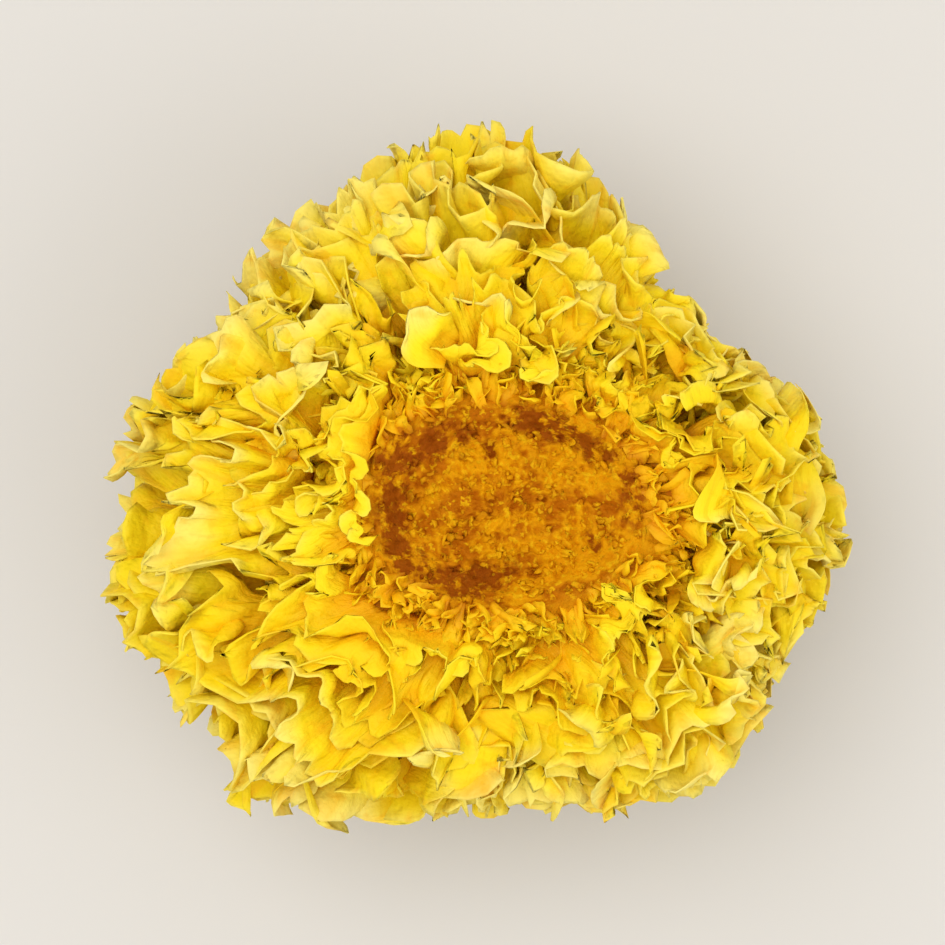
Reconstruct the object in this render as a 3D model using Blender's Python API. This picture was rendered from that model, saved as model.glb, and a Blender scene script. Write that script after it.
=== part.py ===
# A dried head of golden snow fungus, lying on its crown with the cut base up.
# Metres, +Z up. The origin is on the surface that the head lies on, in the middle of its outline.
#
# Every point of a frond is placed by a direction from the middle of the root and by how far it
# reaches from the root's skin (0) to the outside of the head (1). The ruffles turn the directions
# a little about many axes. Each turn moves all directions together and crosses none of them, so
# fronds that start apart stay apart, however strongly they are ruffled.

import math

import bpy
import numpy as np

MM = 0.001
SEED = 10

# The head, in millimetres.
ROOT_MIDDLE = np.array([2.75, -3.0, 25.5])
CROWN_DEPTH = 29.8
SHOULDER_HEIGHT = 13.6
CROWN_BULGE = 2.25
SHOULDER_BULGE = 2.1

# The dents in the head's outside: their depth, how many to a radian, and how far up or down from
# the widest part they reach their full depth, as the height of a direction of length one.
DENT_DEPTH = 0.11
DENT_PITCH = 4.2
DENT_FULL = 0.45
DENT_AXES = np.array([[0.80, 0.36, 0.48], [-0.48, 0.80, 0.36]])
DENT_PHASES = (0.6, 2.1)

# How far the head reaches sideways from the root's middle, every 15 degrees anticlockwise from +X.
REACH = [29.1, 27.9, 25.0, 23.6, 26.0, 30.4, 33.2, 33.0, 31.8, 30.6, 30.0, 33.2,
         34.8, 35.4, 33.0, 34.6, 31.0, 28.2, 26.8, 27.6, 29.4, 29.6, 27.2, 29.2]

# The root: half its width along X and Y, its depth, and the cut across its top.
ROOT_HALF_X = 17.8
ROOT_HALF_Y = 13.1
ROOT_RISE = 11.5
ROOT_DEPTH = 10.0
RIM_HEIGHT = 8.5
CUT_HEIGHT = 6.6
CUT_SHARE = 0.62
ROOT_SEGMENTS = 32
ROOT_ROUGHNESS = 0.06
ROOT_RING_ANGLES = [20.0, 42.0, 62.0, 80.0, 97.0, 113.0]
RIM_RINGS = [(1.0, RIM_HEIGHT), (0.86, RIM_HEIGHT - 0.3), (0.74, CUT_HEIGHT + 0.5)]

# The fronds.
FROND_THICKNESS = 1.05
FROND_EDGE_THICKNESS = 0.75
ROOT_GAP = 0.4
ROW_PLACES = [0.0, 0.38, 0.72, 1.0]
ROOT_WIDTH_SHARE = 0.78
LOBES = (2.6, 3.4)
LOBE_ROUNDNESS = 0.7
CORNER_SHARE = 0.16
CORNER_DEPTH = 0.24
FULL_WIDTH_REACH = 0.8
PLACE_VARIATION = 0.02

# Fronds flatten below the first height, and an edge that ends below the second lies flat at zero.
PRESSED_HEIGHT = 1.6
TIP_HEIGHT = 1.0
SHARP_ANGLE = 50.0

# Each tier: name, number of fronds, columns of faces across a frond, angle from the crown at the
# root and at the edge, width of a frond as a share of its place in the ring, lean across it, reach,
# depth of the notches between its lobes, and where the first frond stands in the ring.
TIERS = [
    ("frond_collar", 5, 14, 122.0, 118.0, 1.02, 6.0, 0.62, 0.14, 20.0),
    ("frond_upper", 6, 20, 108.0, 106.0, 1.10, 9.0, 0.97, 0.13, 55.0),
    ("frond_shoulder", 6, 20, 91.0, 90.0, 1.10, 10.0, 1.00, 0.12, 20.0),
    ("frond_side", 5, 20, 73.0, 72.0, 1.10, 10.0, 1.00, 0.12, 35.0),
    ("frond_lower", 5, 16, 54.0, 52.0, 1.08, 10.0, 1.00, 0.12, 5.0),
    ("frond_crown", 4, 14, 32.0, 30.0, 1.02, 9.0, 1.00, 0.10, 45.0),
    ("frond_heart", 1, 12, 0.0, 0.0, 0.0, 46.0, 1.00, 0.08, 150.0),
]

# The ruffles: turns, waves per radian, mean turn, and the reach where they start and are full.
RUFFLES = [
    (4, 7.5, 0.080, -0.6, 0.9),
    (5, 19.0, 0.075, 0.15, 1.0),
]
# Each turn sums three waves: their pitch as a share of the ruffle's, and their strength.
WAVES = [(0.8, 0.6), (1.0, 0.7), (1.3, 0.5)]
WAVE_VARIATION = 0.08


def smooth_step(low, high, value):
    share = np.clip((value - low) / (high - low), 0.0, 1.0)
    return share * share * (3.0 - 2.0 * share)


def sideways_reach(turn):
    # A smooth closed curve through the listed reaches.
    reach = np.array(REACH)
    count = len(reach)
    place = (turn / (2.0 * math.pi) * count) % count
    index = np.floor(place).astype(int)
    share = place - index
    before = reach[(index - 1) % count]
    start = reach[index % count]
    end = reach[(index + 1) % count]
    after = reach[(index + 2) % count]
    bend = 2.0 * before - 5.0 * start + 4.0 * end - after
    twist = 3.0 * start - before - 3.0 * end + after
    return 0.5 * (2.0 * start + (end - before) * share + bend * share ** 2 + twist * share ** 3)


def head_radius(direction):
    side = np.hypot(direction[..., 0], direction[..., 1])
    up = direction[..., 2]
    reach = sideways_reach(np.arctan2(direction[..., 1], direction[..., 0]))
    shoulder = (side / reach) ** SHOULDER_BULGE + (np.abs(up) / SHOULDER_HEIGHT) ** SHOULDER_BULGE
    crown = (side / reach) ** CROWN_BULGE + (np.abs(up) / CROWN_DEPTH) ** CROWN_BULGE
    radius = np.where(up > 0.0, shoulder ** (-1.0 / SHOULDER_BULGE), crown ** (-1.0 / CROWN_BULGE))
    dents = 0.5
    for axis, phase in zip(DENT_AXES, DENT_PHASES):
        dents = dents * np.sin(DENT_PITCH * (direction @ axis) + phase)
    depth = DENT_DEPTH * smooth_step(0.0, DENT_FULL, np.abs(up))
    radius = radius * (1.0 - depth * (0.5 + dents))
    floor = ROOT_MIDDLE[2] / np.maximum(-up, 0.01)
    return np.minimum(radius, floor)


def root_radius(direction):
    across = (direction[..., 0] / ROOT_HALF_X) ** 2 + (direction[..., 1] / ROOT_HALF_Y) ** 2
    height = np.where(direction[..., 2] > 0.0, ROOT_RISE, ROOT_DEPTH)
    return (across + (direction[..., 2] / height) ** 2) ** -0.5


def direction_of(crown_angle, turn):
    return np.stack([np.sin(crown_angle) * np.cos(turn),
                     np.sin(crown_angle) * np.sin(turn),
                     -np.cos(crown_angle)], axis=-1)


class Ruffle:
    # Turns about random axes, each by an angle that waves along its own axis.

    def __init__(self, random, turns, waves, mean_turn, start, full):
        self.start = start
        self.full = full
        self.turns = []
        size = mean_turn / math.sqrt(turns / 3.0)
        for _ in range(turns):
            axis = random.normal(size=3)
            axis /= np.linalg.norm(axis)
            parts = [(waves * pitch * random.uniform(1.0 - WAVE_VARIATION, 1.0 + WAVE_VARIATION),
                      random.uniform(0.0, 2.0 * math.pi), share) for pitch, share in WAVES]
            self.turns.append((axis, size, parts))

    def apply(self, direction, reach):
        strength = smooth_step(self.start, self.full, reach)
        for axis, size, parts in self.turns:
            along = direction @ axis
            angle = sum(share * np.sin(pitch * along + phase) for pitch, phase, share in parts)
            angle = angle * size * strength
            cosine = np.cos(angle)[..., None]
            sine = np.sin(angle)[..., None]
            direction = (direction * cosine + np.cross(axis, direction) * sine
                         + axis * along[..., None] * (1.0 - cosine))
        return direction


def place(crown_angle, turn, reach, ruffles):
    direction = direction_of(crown_angle, turn)
    for ruffle in ruffles:
        direction = ruffle.apply(direction, reach)
    inner = root_radius(direction) + ROOT_GAP + 0.5 * FROND_THICKNESS
    radius = inner + (head_radius(direction) - inner) * reach
    return ROOT_MIDDLE + direction * radius[..., None]


def press(points):
    # What would lie below the surface is flattened just above it.
    height = points[..., 2]
    low = PRESSED_HEIGHT * np.exp(np.minimum(height - PRESSED_HEIGHT, 0.0) / PRESSED_HEIGHT)
    points[..., 2] = np.where(height < PRESSED_HEIGHT, low, height)
    return points


def frond_surfaces(random, ruffles, columns, root_angle, edge_angle, turn, root_width, edge_width,
                   lean, reach, notch):
    across = np.linspace(0.0, 1.0, columns + 1)[None, :]
    outward = np.array(ROW_PLACES)[:, None]
    lobes = np.abs(np.sin(across * math.pi * random.uniform(*LOBES) + random.uniform(0.0, math.pi)))
    corner = 1.0 - smooth_step(0.0, CORNER_SHARE, np.minimum(across, 1.0 - across))
    edge = reach - notch * (1.0 - lobes ** LOBE_ROUNDNESS) - CORNER_DEPTH * reach * corner ** 2
    out = edge * outward
    spread = smooth_step(0.0, FULL_WIDTH_REACH, out)
    width = root_width + (edge_width - root_width) * spread
    crown_angle = root_angle + (edge_angle - root_angle) * out + lean * (across - 0.5)
    middle = place(crown_angle, turn + (across - 0.5) * width, out, ruffles)
    normal = np.cross(np.gradient(middle, axis=1), np.gradient(middle, axis=0))
    normal /= np.linalg.norm(normal, axis=-1, keepdims=True)
    half = 0.5 * (FROND_THICKNESS + (FROND_EDGE_THICKNESS - FROND_THICKNESS) * outward)[..., None]
    front = press(middle + normal * half)
    back = press(middle - normal * half)
    touching = (middle[-1, :, 2] < TIP_HEIGHT)
    front[-1, touching, 2] = 0.0
    back[-1, touching, 2] = 0.0
    return front, back


def closed_sheet(front, back):
    # Two facing grids of points, joined around their rim into one closed body.
    rows, columns = front.shape[:2]
    index = np.arange(rows * columns).reshape(rows, columns)
    corners = [index[:-1, :-1], index[:-1, 1:], index[1:, 1:], index[1:, :-1]]
    quads = np.stack(corners, axis=-1).reshape(-1, 4)
    ring = np.concatenate([index[0, :-1], index[:-1, -1], index[-1, :0:-1], index[:0:-1, 0]])
    following = np.roll(ring, -1)
    offset = rows * columns
    rim = np.stack([ring + offset, following + offset, following, ring], axis=-1)
    points = np.concatenate([front.reshape(-1, 3), back.reshape(-1, 3)])
    return points, np.concatenate([quads, quads[:, ::-1] + offset, rim])


def root_body(random):
    # Rings of points from under the root, up its skin, over the rim and down to the flat cut.
    turns = np.arange(ROOT_SEGMENTS) / ROOT_SEGMENTS * 2.0 * math.pi
    rim_scale = math.sqrt(1.0 - (RIM_HEIGHT / ROOT_RISE) ** 2)
    rings = []
    for crown_angle in np.radians(ROOT_RING_ANGLES):
        direction = direction_of(np.full(ROOT_SEGMENTS, crown_angle), turns)
        rings.append(direction * root_radius(direction)[:, None])
    for share, height in RIM_RINGS:
        ring = np.stack([np.cos(turns) * ROOT_HALF_X * rim_scale * share,
                         np.sin(turns) * ROOT_HALF_Y * rim_scale * share,
                         np.full(ROOT_SEGMENTS, height)], axis=-1)
        rings.append(ring)
    for ring in rings:
        ring *= 1.0 - random.uniform(0.0, ROOT_ROUGHNESS, ROOT_SEGMENTS)[:, None]
    cut = np.stack([np.cos(turns) * ROOT_HALF_X * rim_scale * CUT_SHARE,
                    np.sin(turns) * ROOT_HALF_Y * rim_scale * CUT_SHARE,
                    np.full(ROOT_SEGMENTS, CUT_HEIGHT)], axis=-1)
    rings.append(cut)
    points = np.concatenate([[[0.0, 0.0, -ROOT_DEPTH]]] + rings + [[[0.0, 0.0, CUT_HEIGHT]]])
    faces = []
    last = len(points) - 1
    for number in range(ROOT_SEGMENTS):
        following = (number + 1) % ROOT_SEGMENTS
        faces.append((0, 1 + following, 1 + number))
        for ring in range(len(rings) - 1):
            low = 1 + ring * ROOT_SEGMENTS
            high = low + ROOT_SEGMENTS
            faces.append((low + number, low + following, high + following, high + number))
        top = 1 + (len(rings) - 1) * ROOT_SEGMENTS
        faces.append((top + number, top + following, last))
    return points + ROOT_MIDDLE, faces


def add_body(name, points, faces, material):
    mesh = bpy.data.meshes.new(name)
    mesh.from_pydata([tuple(point) for point in points * MM], [], [tuple(face) for face in faces])
    mesh.materials.append(material)
    mesh.shade_smooth()
    mesh.set_sharp_from_angle(angle=math.radians(SHARP_ANGLE))
    body = bpy.data.objects.new(name, mesh)
    bpy.context.scene.collection.objects.link(body)
    return body


def skin_material(name, colour, roughness):
    material = bpy.data.materials.new(name)
    material.use_nodes = True
    shader = material.node_tree.nodes["Principled BSDF"]
    shader.inputs["Base Color"].default_value = (*colour, 1.0)
    shader.inputs["Roughness"].default_value = roughness
    shader.inputs["Metallic"].default_value = 0.0
    return material


def build_tier(tier, ruffles, random, material):
    name, count, columns, root_angle, edge_angle, width, lean, reach, notch, first = tier
    place_width = 2.0 * math.pi / count
    for number in range(count):
        shift = PLACE_VARIATION * math.sin(first + number * number)
        turn = math.radians(first) + place_width * (number + shift)
        front, back = frond_surfaces(random, ruffles, columns, math.radians(root_angle),
                                     math.radians(edge_angle), turn,
                                     place_width * width * ROOT_WIDTH_SHARE, place_width * width,
                                     math.radians(lean), reach, notch)
        points, faces = closed_sheet(front, back)
        add_body(f"{name}_{number + 1:02d}", points, faces, material)


def build():
    for item in list(bpy.data.objects):
        bpy.data.objects.remove(item)
    random = np.random.default_rng(SEED)
    ruffles = [Ruffle(random, *row) for row in RUFFLES]
    root = skin_material("base", (0.40, 0.15, 0.015), 0.8)
    collar = skin_material("frond_collar", (0.72, 0.40, 0.03), 0.6)
    frond = skin_material("frond", (0.80, 0.58, 0.14), 0.55)
    add_body("base", *root_body(random), root)
    for tier in TIERS:
        build_tier(tier, ruffles, random, collar if tier[0] == "frond_collar" else frond)


build()
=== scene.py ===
import math

import bpy
import numpy as np
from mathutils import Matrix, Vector, noise


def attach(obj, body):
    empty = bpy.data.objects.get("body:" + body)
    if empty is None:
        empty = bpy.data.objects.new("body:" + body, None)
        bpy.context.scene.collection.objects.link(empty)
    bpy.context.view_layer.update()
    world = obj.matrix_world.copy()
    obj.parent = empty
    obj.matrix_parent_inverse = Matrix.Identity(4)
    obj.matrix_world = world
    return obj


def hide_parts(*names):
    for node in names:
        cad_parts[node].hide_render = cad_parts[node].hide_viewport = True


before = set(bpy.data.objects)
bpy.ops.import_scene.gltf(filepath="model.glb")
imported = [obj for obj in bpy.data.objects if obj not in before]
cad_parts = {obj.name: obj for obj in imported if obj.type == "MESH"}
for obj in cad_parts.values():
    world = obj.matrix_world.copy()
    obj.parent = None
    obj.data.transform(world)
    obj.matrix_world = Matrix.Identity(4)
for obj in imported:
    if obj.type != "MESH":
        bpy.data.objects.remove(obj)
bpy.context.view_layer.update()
print("frame loaded")

millimetre = 0.001

# The head's form, in millimetres and radians. Its outline and its two broad ruffles are those of
# the frame's solids, so each visible frond lies along its solid and adds the finer folds.
head = {
    "seed": 10,
    "frondSeed": 1000,
    "seedStep": 37,
    "rootDepth": 10.0,
    "rootHalfX": 17.8,
    "rootHalfY": 13.1,
    "rootRise": 11.5,
    "crownDepth": 29.8,
    "shoulderHeight": 13.6,
    "crownBulge": 2.25,
    "shoulderBulge": 2.1,
    "dentDepth": 0.11,
    "dentPitch": 4.2,
    "dentFull": 0.45,
    "dentAxes": [(0.80, 0.36, 0.48), (-0.48, 0.80, 0.36)],
    "dentPhases": (0.6, 2.1),
    "pressedHeight": 1.6,  # what lies lower is flattened
    "touchDrop": 0.48,  # brings the flattened edges down to the floor
    "floorGap": 0.01,
    "topHeight": 10.2,  # above the root's middle
    "standOut": 0.3,  # how much of what stands out of the head is kept
    "reach": [29.1, 27.9, 25.0, 23.6, 26.0, 30.4, 33.2, 33.0, 31.8, 30.6, 30.0, 33.2,
              34.8, 35.4, 33.0, 34.6, 31.0, 28.2, 26.8, 27.6, 29.4, 29.6, 27.2, 29.2],
    "broadRuffles": [(4, 7.5, 0.080, -0.6, 0.9), (5, 19.0, 0.075, 0.15, 1.0)],
    "fineRuffles": [(5, 40.0, 0.034, 0.0, 0.55), (5, 84.0, 0.013, 0.3, 1.0)],
    "waves": [(0.8, 0.6), (1.0, 0.7), (1.3, 0.5)],
    "waveVariation": 0.08,
    "placeVariation": 0.02,
    "fullWidthReach": 0.8,
    "rootWidthShare": 0.78,
    "strandSpread": 50.0,
    # Where the fronds are broad and smooth: the direction seen from above, its spread in degrees,
    # and how smooth.
    "calmPlaces": [(182.0, 16.0, 0.4), (232.0, 22.0, 0.55), (62.0, 20.0, 0.55), (98.0, 14.0, 0.3),
                   (300.0, 14.0, 0.3)],
    "calmMost": 0.9,
    "calmFade": 0.5,
}

# The root's lowest point lies under its middle, at the root's depth.
rootLow = min((v.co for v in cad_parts["base"].data.vertices), key=lambda co: co.z)
rootMiddle = np.array(rootLow) / millimetre + np.array([0.0, 0.0, head["rootDepth"]])


def smoothStep(low, high, value):
    share = np.clip((value - low) / (high - low), 0.0, 1.0)
    return share * share * (3.0 - 2.0 * share)


def sidewaysReach(turn):
    reach = np.array(head["reach"])
    count = len(reach)
    place = (turn / (2.0 * math.pi) * count) % count
    index = np.floor(place).astype(int)
    share = place - index
    before, start = reach[(index - 1) % count], reach[index % count]
    end, after = reach[(index + 1) % count], reach[(index + 2) % count]
    bend = 2.0 * before - 5.0 * start + 4.0 * end - after
    twist = 3.0 * start - before - 3.0 * end + after
    return 0.5 * (2.0 * start + (end - before) * share + bend * share ** 2 + twist * share ** 3)


def headRadius(direction):
    side = np.hypot(direction[..., 0], direction[..., 1])
    up = direction[..., 2]
    reach = sidewaysReach(np.arctan2(direction[..., 1], direction[..., 0]))
    upper, lower = head["shoulderBulge"], head["crownBulge"]
    shoulder = (side / reach) ** upper + (np.abs(up) / head["shoulderHeight"]) ** upper
    crown = (side / reach) ** lower + (np.abs(up) / head["crownDepth"]) ** lower
    radius = np.where(up > 0.0, shoulder ** (-1.0 / upper), crown ** (-1.0 / lower))
    dents = 0.5
    for axis, phase in zip(head["dentAxes"], head["dentPhases"]):
        dents = dents * np.sin(head["dentPitch"] * (direction @ np.array(axis)) + phase)
    depth = head["dentDepth"] * smoothStep(0.0, head["dentFull"], np.abs(up))
    radius = radius * (1.0 - depth * (0.5 + dents))
    return np.minimum(radius, rootMiddle[2] / np.maximum(-up, 0.01))


def calmness(direction):
    turn = np.arctan2(direction[..., 1], direction[..., 0])
    calm = 0.0
    for centre, spread, amount in head["calmPlaces"]:
        away = np.angle(np.exp(1j * (turn - math.radians(centre))))
        calm = calm + amount * np.exp(-(away / math.radians(spread)) ** 2)
    sideways = smoothStep(0.0, head["calmFade"], 1.0 - np.abs(direction[..., 2]))
    return np.clip(calm, 0.0, head["calmMost"]) * sideways


def rootRadius(direction):
    across = (direction[..., 0] / head["rootHalfX"]) ** 2 + (direction[..., 1] / head["rootHalfY"]) ** 2
    height = np.where(direction[..., 2] > 0.0, head["rootRise"], head["rootDepth"])
    return (across + (direction[..., 2] / height) ** 2) ** -0.5


def directionOf(crownAngle, turn):
    crownAngle, turn = np.broadcast_arrays(crownAngle, turn)
    flat = np.sin(crownAngle)
    return np.stack([flat * np.cos(turn), flat * np.sin(turn), -np.cos(crownAngle)], axis=-1)


class Ruffle:
    # Turns about random axes, each by an angle that waves along its own axis. All directions turn
    # together, so sheets that start apart stay apart.

    def __init__(self, random, turns, waves, meanTurn, start, full):
        self.start = start
        self.full = full
        self.turns = []
        size = meanTurn / math.sqrt(turns / 3.0)
        spread = head["waveVariation"]
        for _ in range(turns):
            axis = random.normal(size=3)
            axis /= np.linalg.norm(axis)
            parts = [(waves * pitch * random.uniform(1.0 - spread, 1.0 + spread),
                      random.uniform(0.0, 2.0 * math.pi), share) for pitch, share in head["waves"]]
            self.turns.append((axis, size, parts))

    def apply(self, direction, reach, share):
        strength = smoothStep(self.start, self.full, reach) * share
        for axis, size, parts in self.turns:
            along = direction @ axis
            angle = sum(part * np.sin(pitch * along + phase) for pitch, phase, part in parts)
            angle = angle * size * strength
            cosine, sine = np.cos(angle)[..., None], np.sin(angle)[..., None]
            direction = (direction * cosine + np.cross(axis, direction) * sine
                         + axis * along[..., None] * (1.0 - cosine))
        return direction


broadRandom = np.random.default_rng(head["seed"])
fineRandom = np.random.default_rng(head["seed"] + 1)
broadRuffles = [Ruffle(broadRandom, *row) for row in head["broadRuffles"]]
fineRuffles = [Ruffle(fineRandom, *row) for row in head["fineRuffles"]]


def placePoints(crownAngle, turn, reach):
    direction = directionOf(crownAngle, turn)
    rough = 1.0 - calmness(direction)
    for ruffle in broadRuffles:
        direction = ruffle.apply(direction, reach, 1.0)
    for ruffle in fineRuffles:
        direction = ruffle.apply(direction, reach, rough)
    inner = rootRadius(direction)
    radius = inner + (headRadius(direction) - inner) * reach
    return rootMiddle + direction * radius[..., None]


def limitHeights(points):
    # Low points are flattened above the floor, and the lowest of them touch it. Tips that stand
    # above the head are drawn down.
    top = rootMiddle[2] + head["topHeight"]
    height = points[..., 2]
    height = np.where(height > top, top + (height - top) * head["standOut"], height)
    pressed = head["pressedHeight"]
    low = pressed * np.exp(np.minimum(height - pressed, 0.0) / pressed)
    low = low - head["touchDrop"] * (1.0 - smoothStep(head["touchDrop"], pressed, low))
    points[..., 2] = np.where(height < pressed, np.maximum(low, head["floorGap"]), height)
    return points


def holdInside(points):
    # What would stand out of the head is drawn back to just outside its form.
    fromMiddle = points - rootMiddle
    reach = np.linalg.norm(fromMiddle, axis=-1)
    direction = fromMiddle / reach[..., None]
    limit = headRadius(direction)
    held = np.where(reach > limit, limit + (reach - limit) * head["standOut"], reach)
    return rootMiddle + direction * held[..., None]


def waveNoise(random, place, pitch, terms):
    # A smooth random curve along place, about -1 to 1.
    total = np.zeros_like(place)
    for _ in range(terms):
        stretch = random.uniform(0.6, 1.5)
        total = total + np.sin(place * pitch * stretch + random.uniform(0.0, 2.0 * math.pi))
    return total / math.sqrt(terms)


def sheetNormals(middle):
    normal = np.cross(np.gradient(middle, axis=1), np.gradient(middle, axis=0))
    return normal / np.maximum(np.linalg.norm(normal, axis=-1, keepdims=True), 1e-9)


# One sheet of a frond: two facing grids of points, and what colours them.
sheetForm = {
    "headSize": 30.0,
    "leastSide": 0.3,
    "leastColumns": 14,
    "leastRows": 8,
    "rootThickness": 0.55,
    "edgeThickness": 0.16,
    "sideThickness": 0.3,
    "sideTaper": 20.0,
    "calmShare": 0.6,
    "lobeWidth": 5.2,
    "lobeDepth": 0.12,
    "lobeWander": 1.3,
    "lobeWanderPitch": 0.35,
    "lobeRoundness": 0.6,
    "notchWidth": 1.7,
    "notchDepth": 0.03,
    "cornerShare": 0.16,
    "cornerDepth": 0.26,
    "leanStart": -0.2,
    "curl": 1.2,
    "curlWidth": 8.5,
    "curlStart": 0.7,
    "frill": 0.42,
    "frillWidth": 2.9,
    "frillStart": 0.82,
    "rowCrowding": 0.72,
    "rimWidth": 0.4,
    "strandLength": 20.0,
}


def makeSheet(random, tier, turn, placeWidth, edgeOffset, reach, start, widthShare, shift):
    form = sheetForm
    edgeWidth = placeWidth * tier["width"] * widthShare
    rootWidth = edgeWidth * head["rootWidthShare"]
    rootAngle = math.radians(tier["rootAngle"])
    edgeAngle = math.radians(tier["edgeAngle"] + edgeOffset)
    lean = math.radians(tier["lean"]) * widthShare
    middleTurn = turn + shift * placeWidth
    middleAngle = math.radians(tier["lean"]) * shift
    side = max(math.sin(edgeAngle), form["leastSide"])
    size = side * form["headSize"] * reach * max(edgeWidth, abs(lean))
    columns = max(form["leastColumns"], int(size * tier["crumple"] / tier["cell"]))
    rows = max(form["leastRows"], int((reach - start) * tier["length"] / tier["cell"]))
    across = np.linspace(0.0, 1.0, columns + 1)[None, :]
    outward = (np.linspace(0.0, 1.0, rows + 1) ** form["rowCrowding"])[:, None]
    run = across * size
    edgeTurn = middleTurn + (across - 0.5) * edgeWidth
    rough = 1.0 - form["calmShare"] * calmness(directionOf(edgeAngle, edgeTurn))
    wander = form["lobeWander"] * waveNoise(random, run, form["lobeWanderPitch"], 3)
    lobes = np.abs(np.sin(run * math.pi / form["lobeWidth"] + wander))
    notches = waveNoise(random, run, 2.0 * math.pi / form["notchWidth"], 4)
    corner = 1.0 - smoothStep(0.0, form["cornerShare"], np.minimum(across, 1.0 - across))
    cut = form["lobeDepth"] * (1.0 - lobes ** form["lobeRoundness"])
    cut = cut + form["notchDepth"] * (1.0 + notches)
    edge = reach * (1.0 - cut * tier["lobes"] * rough - form["cornerDepth"] * corner ** 2)
    out = start + (edge - start) * outward
    spread = smoothStep(0.0, head["fullWidthReach"], out)
    width = rootWidth + (edgeWidth - rootWidth) * spread
    crownAngle = rootAngle + (edgeAngle - rootAngle) * smoothStep(form["leanStart"], 1.0, out)
    crownAngle = crownAngle + middleAngle + lean * (across - 0.5)
    middle = placePoints(crownAngle, middleTurn + (across - 0.5) * width, out)
    normal = sheetNormals(middle)
    curl = form["curl"] * waveNoise(random, run, 2.0 * math.pi / form["curlWidth"], 3)
    curl = curl * smoothStep(form["curlStart"], 1.0, outward) ** 2
    frill = form["frill"] * rough * waveNoise(random, run, 2.0 * math.pi / form["frillWidth"], 3)
    curl = curl + frill * smoothStep(form["frillStart"], 1.0, outward)
    middle = middle + normal * curl[..., None]
    thickness = form["rootThickness"] + (form["edgeThickness"] - form["rootThickness"]) * outward
    fromSide = np.minimum(across, 1.0 - across)
    thickness = thickness * np.minimum(1.0, form["sideThickness"] + fromSide * form["sideTaper"])
    front = limitHeights(middle + 0.5 * normal * thickness[..., None])
    back = limitHeights(middle - 0.5 * normal * thickness[..., None])
    rowStep = np.linalg.norm(np.gradient(middle, axis=0), axis=-1)
    toEdge = np.cumsum(rowStep[::-1], axis=0)[::-1] - rowStep
    toSide = fromSide * size * tier["crumple"]
    rim = np.exp(-np.minimum(toEdge, toSide) / form["rimWidth"])
    place = np.full_like(out, random.uniform(0.0, head["strandSpread"]))
    strand = np.stack([run * np.ones_like(out), out * form["strandLength"], place], axis=-1)
    tone = np.full_like(out, random.uniform(-1.0, 1.0))
    return {"front": front, "back": back, "out": out, "rim": rim, "tone": tone, "strand": strand}


# What the curls, fins and stubs share: how a narrow blade widens, waves and thins.
bladeForm = {
    "rootWidth": 0.5,
    "widthGrowth": 0.7,
    "tipNarrowing": 0.6,
    "tipRoundness": 6,
    "tipPitch": 9.0,
    "waveAlong": 7.0,
    "waveAcross": (3.0, 8.0),
    "sideThickness": 0.4,
    "sideTaper": 4.0,
    "rootThickness": 1.3,
    "thinning": 0.5,
    "rimWidth": 0.25,
}

# The curls: short narrow blades, crowded between the collar's fronds and over the edge of the cut.
curlForm = {
    "rows": 8,
    "columns": 4,
    "width": (0.6, 2.4),
    "thickness": 0.17,
    "scatter": 0.30,
    "sideways": (0.0, 0.9),
    "bend": 0.5,
    "twist": 1.3,
    "cup": 0.5,
    "wave": 0.35,
    "sunken": 0.6,
    "belowRim": 0.3,
    "rimLength": 0.55,  # share of the full length that those at the rim have
    "fullLengthBelow": 16.0,  # degrees below the rim
    "insideHead": 1.6,
    "leastLength": 0.3,
    "leastGrowth": 0.1,
    "leastClimb": 0.05,
    "standAbove": 1.5,
    "tipDepth": 0.16,
    "outStart": 0.05,
    "outGrowth": 0.42,
    "outPerDegree": 0.012,
}


# The fins: broader blades that stand at all angles between the sheets, out to the head's outside.
finForm = {
    "rows": 12,
    "columns": 8,
    "width": (3.5, 8.0),
    "thickness": 0.24,
    "scatter": 0.16,
    "spread": 8.0,
    "highest": 0.4,
    "startReach": (0.35, 0.6),
    "endReach": (0.9, 1.01),
    "bend": 0.22,
    "twist": 0.8,
    "cup": 0.4,
    "wave": 1.0,
    "tipDepth": 0.2,
}


def makeFin(random, tier, turn):
    form = finForm
    crownAngle = math.radians(tier["edgeAngle"] + random.normal() * form["spread"])
    direction = directionOf(np.array(crownAngle), np.array(turn))
    inner, outer = rootRadius(direction), headRadius(direction)
    startReach, endReach = random.uniform(*form["startReach"]), random.uniform(*form["endReach"])
    start = direction * (inner + (outer - inner) * startReach)
    end = direction + random.normal(size=3) * form["scatter"]
    end[2] = min(end[2], form["highest"])
    end /= np.linalg.norm(end)
    end *= rootRadius(end) + (headRadius(end) - rootRadius(end)) * endReach
    length = np.linalg.norm(end - start)
    grow = (end - start) / length
    blade = makeBlade(random, form, rootMiddle + start, grow, length, random.uniform(*form["width"]))
    for side in ("front", "back"):
        blade[side] = limitHeights(holdInside(blade[side]))
    blade["out"] = startReach + (endReach - startReach) * blade["along"]
    return blade


def rimScale():
    # How wide the rim of the cut is, as a share of the root's widest.
    return math.sqrt(1.0 - (base["rimHeight"] / head["rootRise"]) ** 2)


def rimDirection(turn):
    # The angle from the crown of the direction from the root's middle to the rim of the cut.
    alongX, alongY = math.cos(turn) / head["rootHalfX"], math.sin(turn) / head["rootHalfY"]
    reach = (alongX ** 2 + alongY ** 2) ** -0.5
    return math.pi - math.atan2(reach * rimScale(), base["rimHeight"])


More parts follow.
